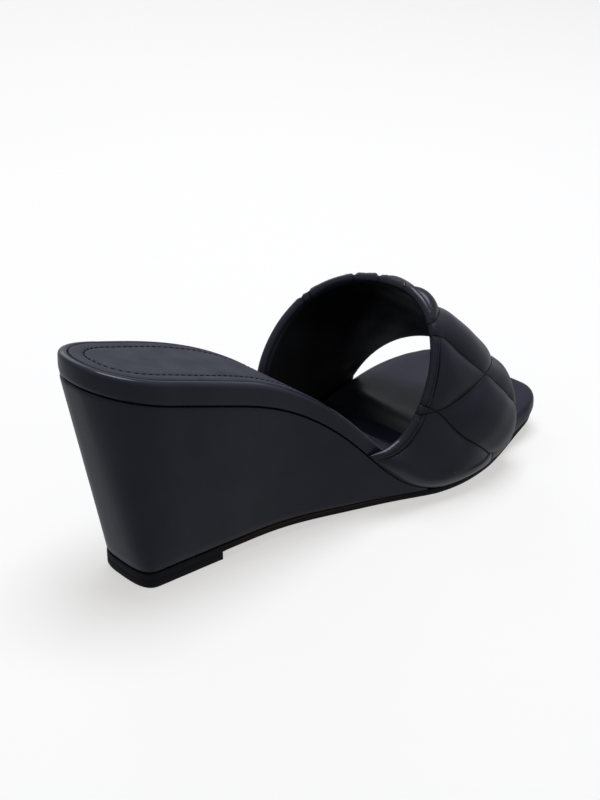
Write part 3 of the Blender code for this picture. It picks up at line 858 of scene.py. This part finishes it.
class Finish:
    """One material, and the nodes that make it."""

    def __init__(self, name, **constants):
        self.material = bpy.data.materials.new(name)
        self.material.use_nodes = True
        self.nodes = self.material.node_tree.nodes
        self.shader = self.nodes["Principled BSDF"]
        for socket, value in constants.items():
            self.shader.inputs[socket.replace("_", " ")].default_value = value
        self.place = self.node("ShaderNodeTexCoord", output="Object")

    def node(self, kind, settings=None, inputs=None, output=0):
        """Add a node: its settings first, then the values or links of its sockets."""
        node = self.nodes.new(kind)
        for setting, value in (settings or {}).items():
            setattr(node, setting, value)
        for socket, value in (inputs or {}).items():
            self.feed(node.inputs[socket], value)
        return Signal(self, node.outputs[output])

    def feed(self, socket, value):
        if isinstance(value, Signal):
            self.material.node_tree.links.new(value.socket, socket)
        else:
            socket.default_value = value

    def noise(self, size, detail=2.0, roughness=0.5, stretch=(1, 1, 1)):
        """Cloudy unevenness; size is in millimetres."""
        place = self.node("ShaderNodeMapping", None, {"Vector": self.place, "Scale": stretch})
        scale = 1 / (size * MM)
        inputs = {"Vector": place, "Scale": scale, "Detail": detail, "Roughness": roughness}
        return self.node("ShaderNodeTexNoise", None, inputs)

    def cells(self, size, feature="F1", smooth=None):
        """Small closed cells, like the grain of leather; size is in millimetres."""
        settings = {"feature": feature}
        inputs = {"Vector": self.place, "Scale": 1 / (size * MM)}
        if smooth is not None:
            inputs["Smoothness"] = smooth
        return self.node("ShaderNodeTexVoronoi", settings, inputs)

    def level(self, signal, low, high, floor=0.0, top=1.0):
        """Spread part of a signal's range over a new one, smoothly, and hold it there."""
        settings = {"interpolation_type": "SMOOTHSTEP"}
        inputs = {"Value": signal, "From Min": low, "From Max": high, "To Min": floor, "To Max": top}
        return self.node("ShaderNodeMapRange", settings, inputs)

    def tint(self, share, first, second):
        """Mix two colours."""
        inputs = {0: share, 6: (*first, 1.0), 7: (*second, 1.0)}
        return self.node("ShaderNodeMix", {"data_type": "RGBA"}, inputs, output=2)

    def attribute(self, name):
        return self.node("ShaderNodeAttribute", {"attribute_name": name}, output="Fac")

    def bump(self, height, depth, strength=1.0, over=None):
        """Relief of the surface; depth is in millimetres."""
        inputs = {"Height": height, "Distance": depth * MM, "Strength": strength}
        if over is not None:
            inputs["Normal"] = over
        return self.node("ShaderNodeBump", None, inputs)

    def set(self, **surface):
        for socket, value in surface.items():
            self.feed(self.shader.inputs[socket.replace("_", " ")], value)
        return self.material


# %% [markdown]
# Smooth covering leather, on the wedge and the footbed's edge: nearly black with a little
# blue, satin, with a fine closed grain and a few slow waves where it is stretched.

# %% Covering leather
def covering_leather(name, dark, light, roughness, grain):
    finish = Finish(name, Specular_IOR_Level=0.15, Coat_Roughness=0.16)
    cloud = finish.noise(14.0, 3.0)
    fine = finish.noise(0.9, 3.0)
    pores = finish.cells(grain)
    slow = finish.noise(22.0, 1.0)
    height = 0.55 * pores + 0.45 * fine
    relief = finish.bump(slow, 0.5, 0.25, finish.bump(height, 0.10, 0.35))
    gloss = roughness + 0.10 * (cloud - 0.5) + 0.06 * (fine - 0.5)
    return finish.set(Base_Color=finish.tint(finish.level(cloud, 0.3, 0.7), dark, light),
                      Roughness=gloss, Coat_Weight=0.26 + 0.10 * cloud, Normal=relief)


COVER_GRAIN = 0.62         # size of a pore, in millimetres
wedge_leather = covering_leather("wedge_leather", (0.0140, 0.0150, 0.0275), (0.0172, 0.0185, 0.0330),
                                 0.34, COVER_GRAIN)
band_leather = covering_leather("footbed_leather", (0.0172, 0.0184, 0.0315), (0.0214, 0.0228, 0.0378),
                                0.30, COVER_GRAIN)
print("covering leathers:", wedge_leather.name, band_leather.name)

# %% [markdown]
# The sock is a matt lining leather, greyer where light falls on it, with a fine nap.

# %% Sock leather
def sock_leather():
    finish = Finish("sock_leather", Specular_IOR_Level=0.20)
    cloud = finish.noise(9.0, 4.0)
    nap = finish.noise(0.55, 3.0, 0.6)
    pores = finish.cells(0.55)
    relief = finish.bump(0.5 * nap + 0.5 * pores, 0.16, 0.55)
    patches = finish.level(cloud + 0.35 * (nap - 0.5), 0.25, 0.75)
    shade = finish.tint(patches, (0.028, 0.0298, 0.0430), (0.043, 0.0458, 0.0640))
    # Painted shade: the colour turns near black along the stitch trough.
    dark = finish.node("ShaderNodeMix", {"data_type": "RGBA"},
                       {0: finish.attribute("trough_shade") * 0.9, 6: shade, 7: (0.006, 0.0065, 0.009, 1)}, output=2)
    return finish.set(Base_Color=dark, Roughness=0.60 + 0.10 * (nap - 0.5), Normal=relief)


sock_finish = sock_leather()

# %% [markdown]
# The strap is soft nappa. It is the glossiest leather here, with a fine pebbled grain and
# tiny creases, rougher down in the seams where no hand has polished it. Its colour is darker
# near the seams and lighter on the pads' tops as painted shade, near black on the seam lines
# for their thread and for painted shade, and near black in the roll's grooves as painted shade.
# Its lining is a plain, dark, smooth leather.

# %% Strap leather and lining
def seam_thread_and_shade(finish, name, gap):
    """How near a place is to a seam of one family: 1 on its thread, 0 beside it; darkened as thread and painted
    shade.
    """
    place = finish.attribute(name) * (1 / gap) + 0.5
    share = finish.node("ShaderNodeMath", {"operation": "FRACT"}, {0: place}) - 0.5
    distance = finish.node("ShaderNodeMath", {"operation": "ABSOLUTE"}, {0: share}) * gap
    return finish.level(distance, 0.12, 0.36, 1.0, 0.0)


def nappa():
    finish = Finish("strap_nappa", Specular_IOR_Level=0.20, Coat_Roughness=0.22)
    pad = finish.attribute("pad")
    steep = seam_thread_and_shade(finish, "steep_seam", spacing(STEEP))
    other = seam_thread_and_shade(finish, "long_seam", spacing(LONG))
    seam = finish.node("ShaderNodeMath", {"operation": "MAXIMUM"}, {0: steep, 1: other})
    across_roll = finish.attribute("roll_share")
    beside = finish.node("ShaderNodeMath", {"operation": "ABSOLUTE"}, {0: across_roll - 1})
    fold = finish.node("ShaderNodeMath", {"operation": "ABSOLUTE"}, {0: across_roll - 0.5})
    # Painted shade: the groove between the roll and the pads and the fine groove down the roll's middle are
    # darkened, on the outside only.
    groove_shade = finish.level(beside, 0.02, 0.16, 0.45, 0.0) + finish.level(fold, 0.01, 0.06, 0.6, 0.0)
    groove_shade = groove_shade * finish.attribute("outside")
    line = finish.node("ShaderNodeMath", {"operation": "MAXIMUM"}, {0: seam * 0.9, 1: groove_shade})
    cloud = finish.noise(11.0, 3.0)
    crease = finish.noise(2.6, 3.0, 0.6)
    pebble = finish.cells(0.62, "SMOOTH_F1", 0.6)
    grain = finish.noise(0.45, 2.0)
    relief = finish.bump(0.6 * pebble + 0.3 * grain, 0.12, 0.45)
    relief = finish.bump(crease, 0.22, 0.22, relief)
    relief = finish.bump(1 - line, 0.45, 0.8, relief)
    # Painted shade: darker near the seams and lighter over the pads' tops, with random mottle from the cloud.
    seam_shade_and_mottle = finish.level(pad, 0.0, 0.35, 0.0, 0.7) + 0.3 * cloud
    leather = finish.tint(seam_shade_and_mottle, (0.0106, 0.0112, 0.0192), (0.0182, 0.0193, 0.0310))
    # The colour turns near black on the seam lines, for their thread and for painted shade down in each seam, and on
    # the roll's grooves as painted shade.
    inputs = {0: line, 6: leather, 7: (0.002, 0.002, 0.0026, 1)}
    shade = finish.node("ShaderNodeMix", {"data_type": "RGBA"}, inputs, output=2)
    gloss = 0.36 + 0.10 * (cloud - 0.5) + 0.06 * (crease - 0.5) + 0.35 * line
    coat = (0.20 + 0.10 * cloud) * (1 - line)
    return finish.set(Base_Color=shade, Roughness=gloss, Coat_Weight=coat, Normal=relief)


def lining_leather():
    finish = Finish("strap_lining", Specular_IOR_Level=0.24)
    cloud = finish.noise(16.0, 3.0)
    fine = finish.noise(0.8, 3.0)
    relief = finish.bump(cloud, 0.6, 0.3, finish.bump(fine, 0.08, 0.4))
    shade = finish.tint(cloud, (0.0012, 0.0012, 0.0015), (0.0026, 0.0027, 0.0034))
    return finish.set(Base_Color=shade, Roughness=0.42 + 0.12 * (cloud - 0.5), Normal=relief)


strap_finish, lining_finish = nappa(), lining_leather()

# %% [markdown]
# The outsole's edge is blacked rubber. A thin brown line is left along the top of the edge,
# where the black doesn't reach. The lift is plain, hard and matt.

# %% Rubber and thread
def sole_rubber():
    finish = Finish("sole_rubber", Specular_IOR_Level=0.16)
    share = finish.attribute("edge_share")
    grain = finish.noise(0.6, 3.0)
    cloud = finish.noise(12.0, 3.0)
    place = finish.node("ShaderNodeSeparateXYZ", None, {0: finish.place}, output=1)
    brown = finish.level(share + 0.08 * (cloud - 0.5), 0.80, 0.90)
    brown = brown * finish.level(place, -0.075, -0.035) * finish.level(place, 0.004, 0.024, 1.0, 0.0)
    shade = finish.tint(brown, (0.0065, 0.0068, 0.0090), (0.045, 0.025, 0.017))
    gloss = 0.55 + 0.12 * (cloud - 0.5)
    return finish.set(Base_Color=shade, Roughness=gloss, Normal=finish.bump(grain, 0.08, 0.4))


def lift_rubber():
    finish = Finish("lift_rubber", Specular_IOR_Level=0.16)
    grain = finish.noise(0.5, 3.0)
    cloud = finish.noise(7.0, 3.0)
    shade = finish.tint(cloud, (0.0065, 0.0068, 0.0090), (0.0100, 0.0104, 0.0130))
    gloss = 0.62 + 0.10 * (cloud - 0.5)
    return finish.set(Base_Color=shade, Roughness=gloss, Normal=finish.bump(grain, 0.1, 0.5))


def waxed_thread():
    finish = Finish("waxed_thread", Specular_IOR_Level=0.08)
    twist = finish.noise(0.25, 1.0, 0.5, (1.0, 3.0, 1.0))
    shade = finish.tint(twist, (0.0012, 0.0012, 0.0016), (0.0030, 0.0030, 0.0038))
    gloss = 0.5 + 0.1 * (twist - 0.5)
    return finish.set(Base_Color=shade, Roughness=gloss, Normal=finish.bump(twist, 0.05, 0.5))


sole_finish, lift_finish, thread_finish = sole_rubber(), lift_rubber(), waxed_thread()

# %% Dress the pieces and tie them to the frame
def dress(piece, slot, nodes, *finishes):
    """Give a piece its finish and its body, and hide the CAD node it stands for; slot is not used."""
    piece.data.materials.clear()
    for finish in finishes:
        piece.data.materials.append(finish)
    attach(piece, "root")
    if nodes:
        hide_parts(*nodes)


dress(footbed, "footbed", ["footbed"], band_leather)
dress(sock, "sock", ["sock"], sock_finish)
dress(sock_stitches, "sock", [], thread_finish)
dress(wedge, "wedge", ["wedge"], wedge_leather)
dress(outsole, "outsole", ["outsole"], sole_finish)
dress(top_lift, "top_lift", ["top_lift"], lift_finish)
dress(strap, "strap", ["strap"], strap_finish, lining_finish)
side = np.zeros(len(strap.data.vertices))
strap.data.attributes["lining"].data.foreach_get("value", side)
for face in strap.data.polygons:
    face.material_index = int(sum(side[v] for v in face.vertices) > 0.5 * len(face.vertices))
print("lining faces:", sum(face.material_index for face in strap.data.polygons))

# %% [markdown]
# The picture is taken in a plain white studio from the outer side, a little above. The camera
# stands where the outlines of the real shoe and of this one agree, and frames the one shoe.

# %% Camera
FOCAL = 66.78
STAND = (0.39096, -0.36019, 0.30859)
RIGHT = (0.67293465, 0.73969089, -0.00404276)
ABOVE = (-0.33158996, 0.30654084, 0.89223361)
BEHIND = (0.66121634, -0.59907437, 0.45155603)
camera = bpy.data.objects.new("camera", bpy.data.cameras.new("camera"))
bpy.context.collection.objects.link(camera)
camera.data.lens = FOCAL
camera.data.sensor_width = 36
camera.data.clip_start = 0.01
camera.data.clip_end = 200
turned = Matrix([[RIGHT[k], ABOVE[k], BEHIND[k]] for k in range(3)])
camera.matrix_world = Matrix.Translation(STAND) @ turned.to_4x4()
bpy.context.scene.camera = camera
print("camera", round(FOCAL, 1), "mm lens,", round(math.degrees(math.asin(BEHIND[2])), 1), "degrees above the level")

# %% [markdown]
# Soft light comes from a box overhead and two weaker ones, behind and on the inner side. The
# paper floor glows for the camera only, and throws nothing back on the shoe. The world is white
# for the camera and dimmer for the light, so the black leather keeps its depth.

# %% Studio
TOP_POWER, REAR_POWER, INNER_POWER = 18, 0.5, 3
WORLD_LIGHT, WORLD_GLOSS, WORLD_WHITE = 0.22, 0.38, 0.93
COOL = (0.93, 0.945, 1.0)
GLOW = 0.570


def paper():
    finish = Finish("studio_paper", Specular_IOR_Level=0.1)
    cloud = finish.noise(400.0, 1.0)
    white = finish.tint(cloud, (0.44, 0.44, 0.44), (0.45, 0.45, 0.45))
    finish.shader.inputs["Emission Strength"].default_value = GLOW
    warm = finish.tint(cloud, (1.0, 0.99, 0.965), (1.0, 0.99, 0.965))
    return finish.set(Base_Color=white, Roughness=0.9, Emission_Color=warm)


nothing_selected()
bpy.ops.mesh.primitive_circle_add(vertices=96, radius=24, fill_type="NGON", location=(0, 0, -0.0002))
studio_floor = bpy.context.active_object
studio_floor.name = "studio_floor"
studio_floor.data.materials.append(paper())
studio_floor.visible_glossy = False
studio_floor.visible_diffuse = False


def softbox(name, place, aim, size, power):
    """A large area light at a place, turned to its aim."""
    lamp = bpy.data.objects.new(name, bpy.data.lights.new(name, "AREA"))
    bpy.context.collection.objects.link(lamp)
    lamp.data.shape = "RECTANGLE"
    lamp.data.size, lamp.data.size_y = size
    lamp.data.energy = power
    lamp.data.color = COOL
    lamp.location = place
    lamp.rotation_euler = (Vector(aim) - Vector(place)).to_track_quat("-Z", "Y").to_euler()
    return lamp


softbox("top_softbox", (-0.10, 0.20, 1.5), (0, 0, 0), (0.8, 0.8), TOP_POWER)
softbox("rear_softbox", (-0.2, -1.6, 0.8), (0, 0, 0.05), (0.7, 1.0), REAR_POWER)
softbox("inner_softbox", (-1.4, 0.5, 0.8), (0, 0, 0.05), (0.8, 1.0), INNER_POWER)
world = bpy.data.worlds.new("studio")
bpy.context.scene.world = world
world.use_nodes = True
nodes, links = world.node_tree.nodes, world.node_tree.links
path = nodes.new("ShaderNodeLightPath")
gloss, strength = nodes.new("ShaderNodeMapRange"), nodes.new("ShaderNodeMapRange")
gloss.inputs["To Min"].default_value = WORLD_LIGHT
gloss.inputs["To Max"].default_value = WORLD_GLOSS
strength.inputs["To Max"].default_value = WORLD_WHITE
links.new(path.outputs["Is Glossy Ray"], gloss.inputs["Value"])
links.new(gloss.outputs[0], strength.inputs["To Min"])
links.new(path.outputs["Is Camera Ray"], strength.inputs["Value"])
links.new(strength.outputs[0], nodes["Background"].inputs["Strength"])
tint = nodes.new("ShaderNodeMix")
tint.data_type = "RGBA"
tint.inputs[6].default_value = (*COOL, 1.0)
tint.inputs[7].default_value = (1.0, 1.0, 1.0, 1.0)
links.new(path.outputs["Is Camera Ray"], tint.inputs[0])
links.new(tint.outputs[2], nodes["Background"].inputs["Color"])
bpy.context.scene.view_settings.view_transform = "Standard"
